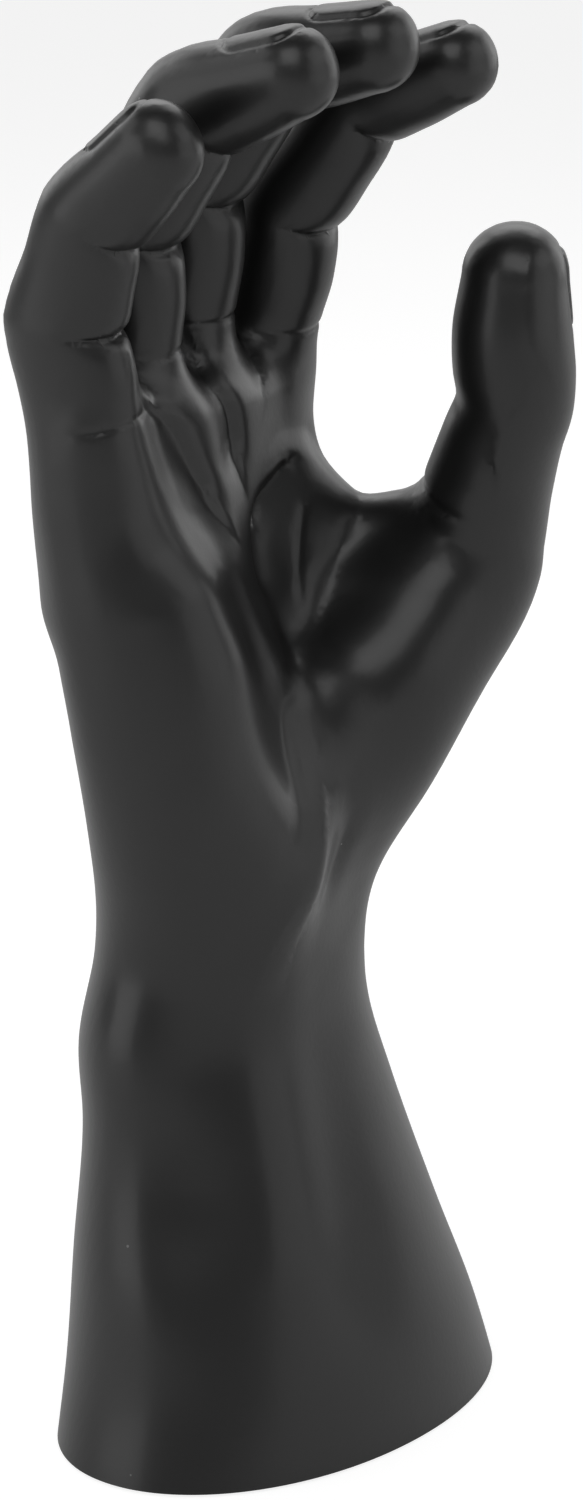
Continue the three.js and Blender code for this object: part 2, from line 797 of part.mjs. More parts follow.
addPiece("hand_shell", handShell(), finishes.shell);
addPiece("base_plate", basePlate(), finishes.plate);
addPiece("ballast_block", ballastBlock(), finishes.ballast);
addPiece("foot_pad", footPad(), finishes.pad);
screwPlaces.forEach((place, i) => {
  const screw = addPiece(`base_screw_${i + 1}`, screwBody(), finishes.screw);
  screw.position.set(place.x, place.y, plateUnder);
});

export default hand;
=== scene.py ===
# %% [markdown]
# # A hand mannequin in satin black plastic
# The real object is a display hand: one hollow moulding of a right hand on its forearm, closed below by a
# plate with a soft pad. The imported CAD model gives the exact frame, and it is loaded first.

# %% The frame
import math

import bmesh
import bpy
import numpy as np
import openvdb
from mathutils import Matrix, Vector
from mathutils.bvhtree import BVHTree


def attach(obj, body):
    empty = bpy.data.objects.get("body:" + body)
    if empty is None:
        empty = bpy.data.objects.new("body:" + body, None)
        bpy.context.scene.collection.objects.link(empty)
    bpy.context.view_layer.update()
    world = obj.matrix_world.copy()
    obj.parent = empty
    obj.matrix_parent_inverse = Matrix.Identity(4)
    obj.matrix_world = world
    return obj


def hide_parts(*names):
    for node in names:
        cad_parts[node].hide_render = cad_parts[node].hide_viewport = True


bpy.context.scene.view_settings.view_transform = "Standard"
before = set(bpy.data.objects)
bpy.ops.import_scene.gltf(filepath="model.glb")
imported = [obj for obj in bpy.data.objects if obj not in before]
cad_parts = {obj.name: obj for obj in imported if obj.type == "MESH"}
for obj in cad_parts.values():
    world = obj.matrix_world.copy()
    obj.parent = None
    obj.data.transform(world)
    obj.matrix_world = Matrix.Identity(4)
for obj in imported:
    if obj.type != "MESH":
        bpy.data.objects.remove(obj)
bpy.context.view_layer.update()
MM = 0.001

# %% [markdown]
# ## The camera
# The photograph looks at the palm from the little finger's side, a little from above. A camera is a place, a
# direction and a focal length, and these were worked out from the outline of the foot and the joints. The
# same numbers turn a place in the picture into a ray later on, so they are named here once.

# %% Camera
PICTURE_WIDE, PICTURE_TALL = 583, 1500
FOCAL_PIXELS = 4732
VIEW_DISTANCE = 850
VIEW_AZIMUTH, VIEW_RISE = math.radians(-59), math.radians(15.6)
TARGET_RIGHT, TARGET_UP = 2.3, 125
SENSOR = 36
to_eye = Vector((
    math.sin(VIEW_AZIMUTH) * math.cos(VIEW_RISE),
    -math.cos(VIEW_AZIMUTH) * math.cos(VIEW_RISE),
    math.sin(VIEW_RISE),
))
view_right = Vector((math.cos(VIEW_AZIMUTH), math.sin(VIEW_AZIMUTH), 0))
view_up = to_eye.cross(view_right)
view_target = view_right * TARGET_RIGHT + Vector((0, 0, TARGET_UP))
eye = view_target + to_eye * VIEW_DISTANCE

camera = bpy.data.objects.new("camera", bpy.data.cameras.new("camera"))
bpy.context.scene.collection.objects.link(camera)
camera.location = eye * MM
camera.rotation_euler = to_eye.to_track_quat("Z", "Y").to_euler()
camera.data.sensor_width = SENSOR
camera.data.lens = SENSOR * FOCAL_PIXELS / PICTURE_TALL
camera.data.clip_start = 0.05
bpy.context.scene.camera = camera
print("lens", round(camera.data.lens, 1), "mm, eye at", [round(c) for c in eye], "mm")

# %% [markdown]
# ## How the hand is sculpted
# A hand has no flat faces and no clear joins, so neither boxes nor a cage of quads describe it well. Here
# each part of it is a distance: a function that tells for any point how far outside or inside the surface it
# is. Distances blend into each other softly, like clay. A grid of them turns into a mesh at the end.
# Everything is in millimetres until then. The first helper runs a smooth curve through a table of numbers.

# %% Smooth runs of numbers
TINY = 1e-9


def smooth_run(places, rows):
    """Values between stations, with the slope at each station taken from its neighbours."""
    places = np.array(places, float)
    rows = np.array(rows, float)
    slopes = np.gradient(rows, places, axis=0)

    def at(where):
        where = np.clip(where, places[0], places[-1])
        i = np.clip(np.searchsorted(places, where) - 1, 0, len(places) - 2)
        gap = places[i + 1] - places[i]
        t = ((where - places[i]) / gap)[..., None]
        gap = gap[..., None]
        start = (1 + 2 * t) * (1 - t) ** 2 * rows[i] + t * (1 - t) ** 2 * gap * slopes[i]
        end = t * t * (3 - 2 * t) * rows[i + 1] + t * t * (t - 1) * gap * slopes[i + 1]
        return start + end

    return at

# %% [markdown]
# ## Forearm and palm
# They are one long oval body whose section changes on the way up: wide at the cut end, narrow at the wrist,
# broad and flat across the palm. Each row gives a height, where the middle is, the half width, the depths to
# the palm and to the back, the turn about the vertical, and how square the oval is.

# %% Sections of forearm and palm
FOOT_HALF_WIDTH, FOOT_HALF_DEPTH, FOOT_TURN = 51, 33, -5
PAD_DROP = 0.6
WRIST = 91
arm_sections = [
    (-6, 0.1, -0.4, 52.8, 33.5, 33.5, -5.4, 2.05),
    (PAD_DROP, 0, 0, FOOT_HALF_WIDTH, FOOT_HALF_DEPTH, FOOT_HALF_DEPTH, FOOT_TURN, 2.05),
    (14, -0.3, 1, 46.8, 32, 32, -4, 2.05),
    (35, -1.7, 3.5, 41, 29, 29.3, -3, 2),
    (WRIST - 31, -3, 6.5, 35, 24.7, 25, -1, 2),
    (WRIST - 18, -4.2, 8.2, 33, 23.3, 24, 0, 2),
    (WRIST, -5, 7.8, 30, 21.9, 20.8, 0, 2),
    (WRIST + 21, -6, 9.5, 31.5, 18, 17.8, 3, 2.1),
    (WRIST + 44, -6.5, 13, 36.5, 17, 15.2, 6, 2.3),
    (WRIST + 69, -7.5, 16.5, 41, 14.5, 14.5, 7, 2.5),
    (WRIST + 89, -8, 17, 40, 13, 12.5, 5, 2.5),
    (WRIST + 101, -8.5, 15, 37, 10.5, 9, 4, 2.4),
    (WRIST + 107, -9.5, 14, 33, 7, 6.5, 4, 2.2),
]
arm_at = smooth_run([row[0] for row in arm_sections], [row[1:] for row in arm_sections])
ARM_TOP, ARM_TOP_ROUND = WRIST + 106, 9


def oval_distance(across, deep, half, depth, square):
    """Distance to an oval, from its own middle, to first order."""
    u = np.abs(across) / half
    v = np.abs(deep) / depth
    size = np.maximum(u ** square + v ** square, TINY) ** (1 / square)
    slope_u = (u / size) ** (square - 1) / half
    slope_v = (v / size) ** (square - 1) / depth
    return (size - 1) / np.maximum(np.hypot(slope_u, slope_v), 1 / (2 * half))


def smooth_most(a, b, reach):
    """The larger of two distances, with the corner between them rounded."""
    h = np.maximum(reach - np.abs(a - b), 0) / reach
    return np.maximum(a, b) + h * h * reach / 4


def smooth_least(a, b, reach):
    """The smaller of two distances, blended like clay within the reach."""
    return -smooth_most(-a, -b, reach)


def arm_distance(p):
    x, y, half, palm, back, turn, square = np.moveaxis(arm_at(p[:, 2]), -1, 0)
    c, s = np.cos(np.radians(turn)), np.sin(np.radians(turn))
    dx, dy = p[:, 0] - x, p[:, 1] - y
    across = dx * c + dy * s
    deep = dy * c - dx * s
    round_body = oval_distance(across, deep, half, np.where(deep > 0, back, palm), square)
    return smooth_most(round_body, p[:, 2] - ARM_TOP, ARM_TOP_ROUND)

# %% [markdown]
# ## Limbs
# A finger, the thumb and the pads of the palm are all limbs: a section that travels along a bent middle line.
# For any point, the nearest place on the line gives how far along it is, and from there the offset sideways,
# to the back and to the palm side. The two sides have their own depths, which makes room for soft pads in
# front and flat bones behind. Past the last point the section closes in a round tip. Close to the middle line
# the distance is held at a small core, so that nothing is divided by zero.

# %% A limb as a distance
BLEND_REACH = 17
CORE_REACH, CORE_SIZE = 0.5, 0.05
LONGEST_CUT_SHARE = 0.42


class Limb:
    """A section that travels along a line. rows: along, half width, depth to the back, depth to the palm."""

    def __init__(self, line, side, rows, tip, square=2.15):
        self.line = np.array(line, float)
        steps = np.diff(self.line, axis=0)
        self.lengths = np.linalg.norm(steps, axis=1)
        self.ways = steps / self.lengths[:, None]
        self.along = np.concatenate([[0], np.cumsum(self.lengths)])
        self.side = np.array(side, float)
        self.sizes = smooth_run([r[0] for r in rows], [r[1:] for r in rows])
        self.tip = tip
        self.square = square
        reach = max(max(r[1:]) for r in rows) + BLEND_REACH
        self.low = self.line.min(0) - reach
        self.high = self.line.max(0) + reach

    def coordinates(self, p):
        """How far along each point is, its offsets to the side and to the back, and how far past the end."""
        best = np.full(len(p), np.inf)
        along = np.zeros(len(p))
        beyond = np.zeros(len(p))
        offset = np.zeros_like(p)
        way = np.zeros_like(p)
        last = len(self.lengths) - 1
        knots = np.vstack([self.ways[:1], (self.ways[1:] + self.ways[:-1]) / 2, self.ways[-1:]])
        for i, (start, ahead, length) in enumerate(zip(self.line, self.ways, self.lengths)):
            rel = p - start
            run = rel @ ahead
            t = np.clip(run, 0, length)
            off = rel - t[:, None] * ahead
            gap = np.einsum("ij,ij->i", off, off)
            near = gap < best
            best[near] = gap[near]
            along[near] = self.along[i] + t[near]
            offset[near] = off[near]
            share = (t[near] / length)[:, None]
            way[near] = knots[i] * (1 - share) + knots[i + 1] * share
            past = np.zeros(len(p))
            if i == 0:
                past = np.minimum(run, 0)
            if i == last:
                past = np.maximum(run - length, 0)
            beyond[near] = past[near]
        way /= np.linalg.norm(way, axis=1)[:, None]
        slip = np.einsum("ij,ij->i", offset, way) * (beyond == 0)
        along += slip
        offset -= slip[:, None] * way
        side = self.side - (way @ self.side)[:, None] * way
        side /= np.linalg.norm(side, axis=1)[:, None]
        back = np.cross(way, side)
        return along, np.einsum("ij,ij->i", offset, side), np.einsum("ij,ij->i", offset, back), beyond

    def distance(self, p):
        along, across, deep, beyond = self.coordinates(p)
        half, to_back, to_palm = np.moveaxis(self.sizes(along), -1, 0)
        depth = np.where(deep > 0, to_back, to_palm)
        ahead = np.where(beyond > 0, self.tip, half)
        size = (np.abs(across / half) ** self.square + np.abs(deep / depth) ** self.square
                + np.abs(beyond / ahead) ** self.square)
        size = np.maximum(size, TINY) ** (1 / self.square)
        reach = np.sqrt(across ** 2 + deep ** 2 + beyond ** 2)
        return np.maximum(reach, CORE_REACH) * (1 - 1 / np.maximum(size, CORE_SIZE))

    def near(self, p):
        return np.all((p > self.low) & (p < self.high), axis=1)


def soft_line(points, bend_length, steps=6):
    """A line through joints, each corner turned into a short curve."""
    points = [np.array(q, float) for q in points]
    line = [points[0]]
    for before, joint, after in zip(points, points[1:], points[2:]):
        inward, outward = joint - before, after - joint
        in_length, out_length = np.linalg.norm(inward), np.linalg.norm(outward)
        cut = min(bend_length, LONGEST_CUT_SHARE * in_length, LONGEST_CUT_SHARE * out_length)
        start = joint - cut * inward / in_length
        end = joint + cut * outward / out_length
        for t in np.linspace(0, 1, steps + 1):
            line.append((1 - t) ** 2 * start + 2 * t * (1 - t) * joint + t * t * end)
    line.append(points[-1])
    return np.array(line)

# %% [markdown]
# ## Fingers
# All four bend forward over the palm, more at each joint. The bones follow a textbook hand, and the bends and
# splays follow the photograph. The palm side is fuller between the creases and drawn in at them, the back is
# straight with a low swelling over each joint. Each row of the form gives a place along the finger, counted
# in bones from the knuckle, and shares of the half width, of the depth to the back and of that to the palm.

# %% The four fingers
ROOT, ROOT_PALM_SHARE = 14, 0.92
FINGER_BEND = 6.5
finger_facts = {
    "index": dict(knuckle=(21.4, 20.3, 179.2), bones=(43.3, 26.3, 19.9), bends=(16, 38.5, 68.5), splay=-6,
                  depths=(11.5, 9.8, 9.2, 7.8), halves=(10.6, 9.5, 8.6, 7.6)),
    "middle": dict(knuckle=(0, 22.8, 180), bones=(48.3, 28.1, 21.3), bends=(9, 38, 79), splay=-6,
                   depths=(11.5, 10.2, 9.7, 8.2), halves=(10.4, 9.3, 8.5, 7.8)),
    "ring": dict(knuckle=(-19.5, 18.9, 177.9), bones=(44.7, 27.6, 20.3), bends=(3, 36, 71), splay=-6.5,
                 depths=(11, 10.7, 10.4, 8.4), halves=(9.8, 8.9, 8.4, 7.7)),
    "little": dict(knuckle=(-37, 13.4, 172.5), bones=(36.2, 20.8, 18.3), bends=(-6, 22, 48), splay=-8.5,
                   depths=(11.6, 11.3, 9.9, 8.8), halves=(9, 7.8, 7.5, 7)),
}
finger_form = [
    (0.00, 1.00, 1.00, 0.92),
    (0.28, 0.96, 0.93, 0.93),
    (0.50, 0.94, 0.90, 0.92),
    (0.75, 0.96, 0.91, 1.05),
    (0.93, 1.00, 0.98, 0.98),
    (1.00, 1.02, 1.01, 0.88),
    (1.09, 1.00, 0.98, 0.97),
    (1.50, 0.95, 0.90, 1.04),
    (1.88, 0.99, 0.95, 0.97),
    (2.00, 1.01, 0.98, 0.87),
    (2.12, 1.00, 0.96, 0.98),
    (2.50, 1.01, 0.90, 1.05),
    (3.00, 1.00, 0.90, 1.00),
]


def bone_way(bend, splay):
    bend, splay = math.radians(bend), math.radians(splay)
    return np.array([math.sin(splay) * math.cos(bend), -math.sin(bend), math.cos(splay) * math.cos(bend)])


class Finger(Limb):
    """A limb with its joints, so that nails and creases can be placed by them."""

    def __init__(self, knuckle, bones, bends, splay, depths, halves):
        joints = [np.array(knuckle, float)]
        for length, bend in zip(bones, bends):
            joints.append(joints[-1] + length * bone_way(bend, splay))
        root = joints[0] - ROOT * bone_way(0, splay)
        line = soft_line([root] + joints, FINGER_BEND)
        side = (math.cos(math.radians(splay)), 0, -math.sin(math.radians(splay)))
        straight = np.array([0, *np.cumsum([ROOT, *bones])])
        true_length = np.concatenate([[0], np.cumsum(np.linalg.norm(np.diff(line, axis=0), axis=1))])[-1]
        shrink = true_length / straight[-1]
        self.stations = straight[1:] * shrink
        rows = [(0, halves[0], depths[0], depths[0] * ROOT_PALM_SHARE)]
        for place, wide, behind, before in finger_form:
            bone = min(int(place), len(bones) - 1)
            share = place - bone
            along = self.stations[bone] + share * (self.stations[bone + 1] - self.stations[bone])
            depth = depths[bone] + share * (depths[bone + 1] - depths[bone])
            half = halves[bone] + share * (halves[bone + 1] - halves[bone])
            rows.append((along, half * wide, depth * behind, depth * before))
        super().__init__(line, side, rows, tip=depths[-1])
        self.joints = joints
        self.tip_way = bone_way(bends[-1], splay)
        self.half_tip = halves[-1]


fingers = {name: Finger(**facts) for name, facts in finger_facts.items()}
for name, finger in fingers.items():
    print(name, "finger:", round(finger.along[-1]), "mm along its middle, tip at",
          [round(c) for c in finger.joints[-1]])

# %% [markdown]
# ## Thumb and the soft pads of the palm
# The thumb rises from a thick pad, the ball of the thumb, and its tip stands opposite the fingers. The heel
# of the palm has a pad on the little finger's side, and a web of skin runs from the thumb to the forefinger.
# Each station is a place, the half width there, and the depths to the back and to the palm.

# %% Thumb, heel and web
thumb_stations = [
    ((3, 4, 96), 12, 12, 12),
    ((11, -1.5, 112), 15.8, 15.8, 15.8),
    ((23, -10.5, 135), 16, 15.5, 15.5),
    ((34.5, -19.5, 155), 12.7, 12.8, 12.8),
    ((33.3, -25, 172), 11.5, 11.0, 11.4),
    ((30.9, -28.3, 181), 11.3, 10.9, 10.3),
    ((29.6, -30, 186.5), 11.4, 11.6, 9.3),
    ((28.7, -31.1, 192), 11.5, 11.4, 10.5),
    ((28.1, -31.8, 200), 11.3, 10.4, 11.0),
    ((27.6, -32.4, 210), 10, 9.1, 9.7),
]
heel_stations = [
    ((-18, 4, 98), 11, 11, 11),
    ((-24, 2, 114), 14, 14, 14),
    ((-29, 4, 135), 12.5, 12.5, 13.5),
    ((-32, 8, 156), 10.8, 11, 12),
]
wrist_stations = [
    ((-14, -0.5, 93), 8, 9, 9),
    ((-7, -2.5, 105), 9, 10, 10),
    ((-2, -4, 117), 8.5, 9.5, 9.5),
    ((2, -2.5, 129), 7, 8, 8),
]
web_stations = [
    ((17, 11, 160), 14, 9, 9),
    ((25, 1, 154.2), 13, 8.5, 8.5),
    ((32, -13, 156), 12.5, 9, 9),
]
STEPS_BETWEEN = 8


def limb_through(stations, side, tip):
    """A limb whose middle line runs smoothly through its stations."""
    points = np.array([s[0] for s in stations], float)
    along = np.concatenate([[0], np.cumsum(np.linalg.norm(np.diff(points, axis=0), axis=1))])
    curve = smooth_run(along, points)
    line = curve(np.linspace(0, along[-1], STEPS_BETWEEN * (len(stations) - 1) + 1))
    true_length = np.linalg.norm(np.diff(line, axis=0), axis=1).sum()
    rows = [(a * true_length / along[-1], *s[1:]) for a, s in zip(along, stations)]
    return Limb(line, side, rows, tip, square=2.05)


thumb = limb_through(thumb_stations, side=(-0.79, -0.61, 0), tip=9.4)
heel = limb_through(heel_stations, side=(1, 0, 0), tip=12)
web = limb_through(web_stations, side=(0, 0, 1), tip=11)
wrist_pad = limb_through(wrist_stations, side=(1, 0, 0), tip=8)

# %% [markdown]
# ## One soft form
# The pads and the roots of the fingers melt into the palm, but a finger doesn't melt into the next one. So
# each finger is blended with the palm alone, and the smallest of the results is the hand.

# %% The hand's distance
PAD_BLEND, WEB_BLEND, FINGER_BLEND = 9, 14, 6
THUMB_BLEND, THUMB_BLEND_HIGH, THUMB_BLEND_RISE = 14, 4, (WRIST + 62, WRIST + 76)


def limb_distance(limb, p, far=30.0):
    result = np.full(len(p), far)
    near = limb.near(p)
    result[near] = limb.distance(p[near])
    return result


def hand_distance(p):
    palm = arm_distance(p)
    palm = smooth_least(palm, limb_distance(heel, p), PAD_BLEND)
    palm = smooth_least(palm, limb_distance(wrist_pad, p), PAD_BLEND)
    palm = smooth_least(palm, limb_distance(web, p), WEB_BLEND)
    rise = np.clip((p[:, 2] - THUMB_BLEND_RISE[0]) / (THUMB_BLEND_RISE[1] - THUMB_BLEND_RISE[0]), 0, 1)
    blend = THUMB_BLEND + (THUMB_BLEND_HIGH - THUMB_BLEND) * rise * rise * (3 - 2 * rise)
    palm = smooth_least(palm, limb_distance(thumb, p), blend)
    result = palm
    for finger in fingers.values():
        result = np.minimum(result, smooth_least(palm, limb_distance(finger, p), FINGER_BLEND))
    return result

# %% [markdown]
# ## From distances to a mesh
# The distances are sampled on a grid, and the zero level is turned into quads. The band far from the surface
# is clipped, because the mesher only needs the values close to zero.

# %% Mesh of the smooth hand
GRID = 1.3
BAND_CELLS = 3
GRID_LOW = np.array([-59, -47, -5])
GRID_HIGH = np.array([55, 38, 265])


def grid_mesh():
    counts = np.ceil((GRID_HIGH - GRID_LOW) / GRID).astype(int)
    axes = [GRID_LOW[i] + GRID * np.arange(counts[i]) for i in range(3)]
    values = np.empty(counts, np.float32)
    for i, x in enumerate(axes[0]):
        yy, zz = np.meshgrid(axes[1], axes[2], indexing="ij")
        p = np.stack([np.full(yy.size, x), yy.ravel(), zz.ravel()], axis=1)
        values[i] = hand_distance(p).reshape(counts[1], counts[2])
    band = BAND_CELLS * GRID
    grid = openvdb.FloatGrid(band)
    grid.copyFromArray(np.clip(values, -band, band))
    points, _, quads = grid.convertToPolygons(isovalue=0.0, adaptivity=0.0)
    return points * GRID + GRID_LOW, quads


hand_points, hand_quads = grid_mesh()
hand_faces = np.vstack([hand_quads[:, [0, 1, 2]], hand_quads[:, [0, 2, 3]]])
print("smooth hand:", len(hand_points), "points,", len(hand_faces), "triangles")


def slope_of(distance, p, step=0.2):
    """The direction in which a distance grows fastest."""
    corners = np.array([[1, -1, -1], [-1, -1, 1], [-1, 1, -1], [1, 1, 1]], float)
    slope = sum(c * distance(p + c * step)[:, None] for c in corners)
    return slope / np.maximum(np.linalg.norm(slope, axis=1), TINY)[:, None]


LONGEST_SETTLE = 0.8


def settle(p, rounds=2):
    """Moves points onto the surface, and gives the way out of it at each."""
    for _ in range(rounds):
        out = slope_of(hand_distance, p)
        p = p - np.clip(hand_distance(p), -LONGEST_SETTLE, LONGEST_SETTLE)[:, None] * out
    return p, slope_of(hand_distance, p)


hand_points, _ = settle(hand_points)

# %% [markdown]
# ## Drawing on the hand through the picture
# Lines of the palm, soft ridges and hollows are placed as a carver would, on the photograph. A named
# place in the picture becomes a ray from the camera, and where the ray meets the smooth hand is the place of
# the stroke. A stroke has a height, which is negative for a groove, and a width to each side of it: drawn
# downward, its left is the picture's right. Its section is a bell, and it fades out toward its ends.

# %% From a place in the picture to a place on the hand
hand_tree = BVHTree.FromPolygons([tuple(q) for q in hand_points], [tuple(f) for f in hand_faces.tolist()])


def on_hand(across, down):
    """Where the camera's ray through a picture place meets the hand, and the way out there."""
    right = (across - PICTURE_WIDE / 2) / FOCAL_PIXELS
    up = (PICTURE_TALL / 2 - down) / FOCAL_PIXELS
    place, out, _, _ = hand_tree.ray_cast(eye, (view_right * right + view_up * up - to_eye).normalized())
    if place is None:
        raise ValueError(f"no hand at {across}, {down}")
    return np.array(place), np.array(out)


STROKE_STEP, BELL_REACH, SEAM_SHARE = 1.5, 3, 0.6


class Stroke:
    """A groove or ridge along a line on the hand. widths: to the left and right of the way it is drawn."""

    def __init__(self, name, picture, height, widths, fade=3.0):
        hits = [on_hand(*place) for place in picture]
        points = np.array([hit[0] for hit in hits])
        outs = np.array([hit[1] for hit in hits])
        if len(points) > 1:
            along = np.concatenate([[0], np.cumsum(np.linalg.norm(np.diff(points, axis=0), axis=1))])
            where = np.linspace(0, along[-1], max(2, int(along[-1] / STROKE_STEP)))
            points, outs = settle(smooth_run(along, points)(where), rounds=5)
        self.name = name
        self.points = points
        self.outs = outs
        self.height = height
        self.widths = np.array(widths, float)
        self.seam = SEAM_SHARE * self.widths.min()
        self.fade = fade
        self.low = points.min(0) - BELL_REACH * self.widths.max()
        self.high = points.max(0) + BELL_REACH * self.widths.max()

    def relief(self, p):
        result = np.zeros(len(p))
        near = np.all((p > self.low) & (p < self.high), axis=1)
        q = p[near]
        if not len(q):
            return result
        if len(self.points) == 1:
            gap = np.linalg.norm(q - self.points[0], axis=1)
            result[near] = self.height * np.exp(-0.5 * (gap / self.widths[0]) ** 2)
            return result
        strongest = np.zeros(len(q))
        total = np.linalg.norm(np.diff(self.points, axis=0), axis=1).sum()
        run_so_far = 0.0
        for start, end, out in zip(self.points, self.points[1:], self.outs):
            ahead = end - start
            length = np.linalg.norm(ahead)
            ahead /= length
            rel = q - start
            t = np.clip(rel @ ahead, 0, length)
            off = rel - t[:, None] * ahead
            left = np.clip(0.5 + off @ np.cross(out, ahead) / (2 * self.seam), 0, 1)
            width = self.widths[1] + (self.widths[0] - self.widths[1]) * left
            along = run_so_far + t
            ends = np.clip(np.minimum(along, total - along) / self.fade, 0, 1)
            ends = ends * ends * (3 - 2 * ends)
            bell = np.exp(-0.5 * np.einsum("ij,ij->i", off, off) / width ** 2)
            strongest = np.maximum(strongest, ends * bell)
            run_so_far += length
        result[near] = self.height * strongest
        return result

# %% [markdown]
# ## Lines of the palm and wrist
# The life line curls round the ball of the thumb, and grooves part the pads under the fingers. Soft ridges
# and hollows run where the bones, the muscles and the tendons of palm, thumb and forearm lie. Each has a name
# and a short list of places in the picture. Heights and widths are in millimetres on the hand.

# %% Strokes of palm and wrist
strokes = [
    Stroke("ring pad", picture=[(150, 402), (172, 425), (192, 462), (216, 508)],
           height=-1.9, widths=(1.6, 5.5), fade=6),
    Stroke("middle pad", picture=[(188, 340), (214, 380), (236, 425), (243, 468)],
           height=-1.9, widths=(1.5, 4), fade=6),
    Stroke("valley under forefinger", picture=[(246, 335), (256, 362), (266, 392)],
           height=-0.9, widths=(1.2, 3), fade=5),
    Stroke("forefinger pad", picture=[(284, 345), (292, 385), (292, 425)],
           height=1.0, widths=(5, 4), fade=8),
    Stroke("life line", picture=[(299, 452), (280, 478), (262, 504), (255, 537), (257, 570), (268, 602)],
           height=-1.2, widths=(2.4, 1.4), fade=6),
    Stroke("lower life line", picture=[(257, 570), (276, 618), (296, 664), (320, 714), (340, 752)],
           height=-0.9, widths=(2.6, 3.4), fade=14),
    Stroke("middle of the palm", picture=[(220, 500), (226, 570), (248, 635), (272, 690), (300, 745)],
           height=2.8, widths=(6, 5), fade=16),
    Stroke("life line crease", picture=[(299, 452), (280, 478), (262, 504), (257, 530)],
           height=-0.5, widths=(0.7, 0.7)),
    Stroke("palm side ridge", picture=[(180, 525), (200, 575), (222, 630), (250, 690), (275, 745)],
           height=1.3, widths=(9, 6), fade=16),
    Stroke("fold by the web", picture=[(350, 500), (338, 545), (328, 595), (330, 640)],
           height=-0.6, widths=(1.6, 5), fade=12),
    Stroke("thin ridge", picture=[(305, 492), (300, 530), (299, 572), (302, 610)],
           height=0.3, widths=(0.8, 0.8)),
    Stroke("left side of the thumb's ball", picture=[(318, 610), (322, 650), (337, 695), (356, 735)],
           height=1.6, widths=(7, 5), fade=16),
    Stroke("thumb bone", picture=[(500, 470), (452, 545), (430, 605), (396, 665), (366, 720)],
           height=2.0, widths=(7, 9), fade=16),
    Stroke("side of the thumb's tip", picture=[(528, 252), (528, 300), (532, 342), (545, 370)],
           height=0.5, widths=(3.5, 1.1), fade=4),
    Stroke("side of the thumb", picture=[(516, 410), (506, 432), (496, 475)],
           height=0.6, widths=(4, 1.2), fade=4),
    Stroke("heel ridge", picture=[(150, 565), (188, 615), (224, 668), (250, 712)],
           height=1.5, widths=(6, 8), fade=14),
    Stroke("wrist bulge", picture=[(294, 745), (310, 800), (306, 860), (288, 925), (276, 975)],
           height=4.4, widths=(4.2, 9), fade=20),
    Stroke("wrist line", picture=[(352, 780), (352, 830), (338, 872), (316, 915)],
           height=-1.2, widths=(2.5, 4.5), fade=12),
    Stroke("wrist hollow", picture=[(222, 800), (217, 880), (214, 950)],
           height=-1.6, widths=(9, 6), fade=16),
    Stroke("thumb side of the wrist", picture=[(398, 800), (376, 850), (368, 900), (364, 945)],
           height=-2.8, widths=(9, 9), fade=14),
    Stroke("little finger side", picture=[(48, 500), (50, 560), (56, 615), (68, 670)],
           height=-1.8, widths=(11, 11), fade=12),
    Stroke("wrist groove", picture=[(200, 965), (195, 1050), (194, 1150), (205, 1320)],
           height=-3.0, widths=(8, 7), fade=22),
    Stroke("inner forearm side",
           picture=[(328, 930), (324, 990), (326, 1060), (338, 1150), (355, 1250), (376, 1345)],
           height=-1.8, widths=(9, 8), fade=25),
    Stroke("outer forearm bone", picture=[(140, 1000), (143, 1100), (143, 1250), (150, 1400)],
           height=1.6, widths=(9, 12), fade=22),
    Stroke("tendon", picture=[(220, 1000), (238, 1110), (264, 1220), (312, 1345)],
           height=2.6, widths=(12, 10), fade=30),
    Stroke("outer wrist bone", picture=[(128, 1035)],
           height=1.2, widths=(9, 9)),
]
print("strokes:", ", ".join(stroke.name for stroke in strokes))

# %% [markdown]
# ## Creases and nails
# A crease crosses the palm side of a finger at each joint and runs out half way round. A nail is a plate with
# rounded corners on the back of the tip: it lies a little proud inside a narrow groove. Both are drawn in the
# finger's own coordinates, so they bend with it. The thumb has one crease, and its nail looks away from the
# camera.

# %% Creases and nails
CREASE_DEPTH, CREASE_WIDTH = 0.4, 0.5
CREASE_END_ANGLE, CREASE_FADE_ANGLE = 88, 65
NAIL_RISE, NAIL_EDGE_SOFTNESS = 0.2, 0.16
NAIL_GROOVE, NAIL_GROOVE_WIDTH, NAIL_GROOVE_AWAY = 0.35, 0.35, 0.25


def crease_relief(limb, p, places, depth=CREASE_DEPTH, width=CREASE_WIDTH):
    along, across, deep, _ = limb.coordinates(p)
    angle = np.degrees(np.arctan2(np.abs(across), -deep))
    wrap = np.clip((CREASE_END_ANGLE - angle) / CREASE_FADE_ANGLE, 0, 1)
    wrap = wrap * wrap * (3 - 2 * wrap)
    total = sum(np.exp(-0.5 * ((along - place) / width) ** 2) for place in places)
    return -depth * wrap * total


def nail_relief(p, tip, ahead, side, half_wide, behind, before, corner=3.2):
    """A nail plate round the given tip: behind and before are its ends, measured along the finger."""
    back = np.cross(ahead, side)
    rel = p - tip
    run, across, deep = rel @ ahead, rel @ side, rel @ back
    middle, half_long = (before - behind) / 2, (before + behind) / 2
    edge_run = np.abs(run - middle) - (half_long - corner)
    edge_across = np.abs(across) - (half_wide - corner)
    outside = np.hypot(np.maximum(edge_run, 0), np.maximum(edge_across, 0))
    edge = outside + np.minimum(np.maximum(edge_run, edge_across), 0) - corner
    plate = NAIL_RISE / (1 + np.exp(np.clip(edge / NAIL_EDGE_SOFTNESS, -30, 30)))
    groove = -NAIL_GROOVE * np.exp(-0.5 * ((edge - NAIL_GROOVE_AWAY) / NAIL_GROOVE_WIDTH) ** 2)
    return np.where(deep > 0, plate + groove, 0) * np.clip(deep / 2, 0, 1)


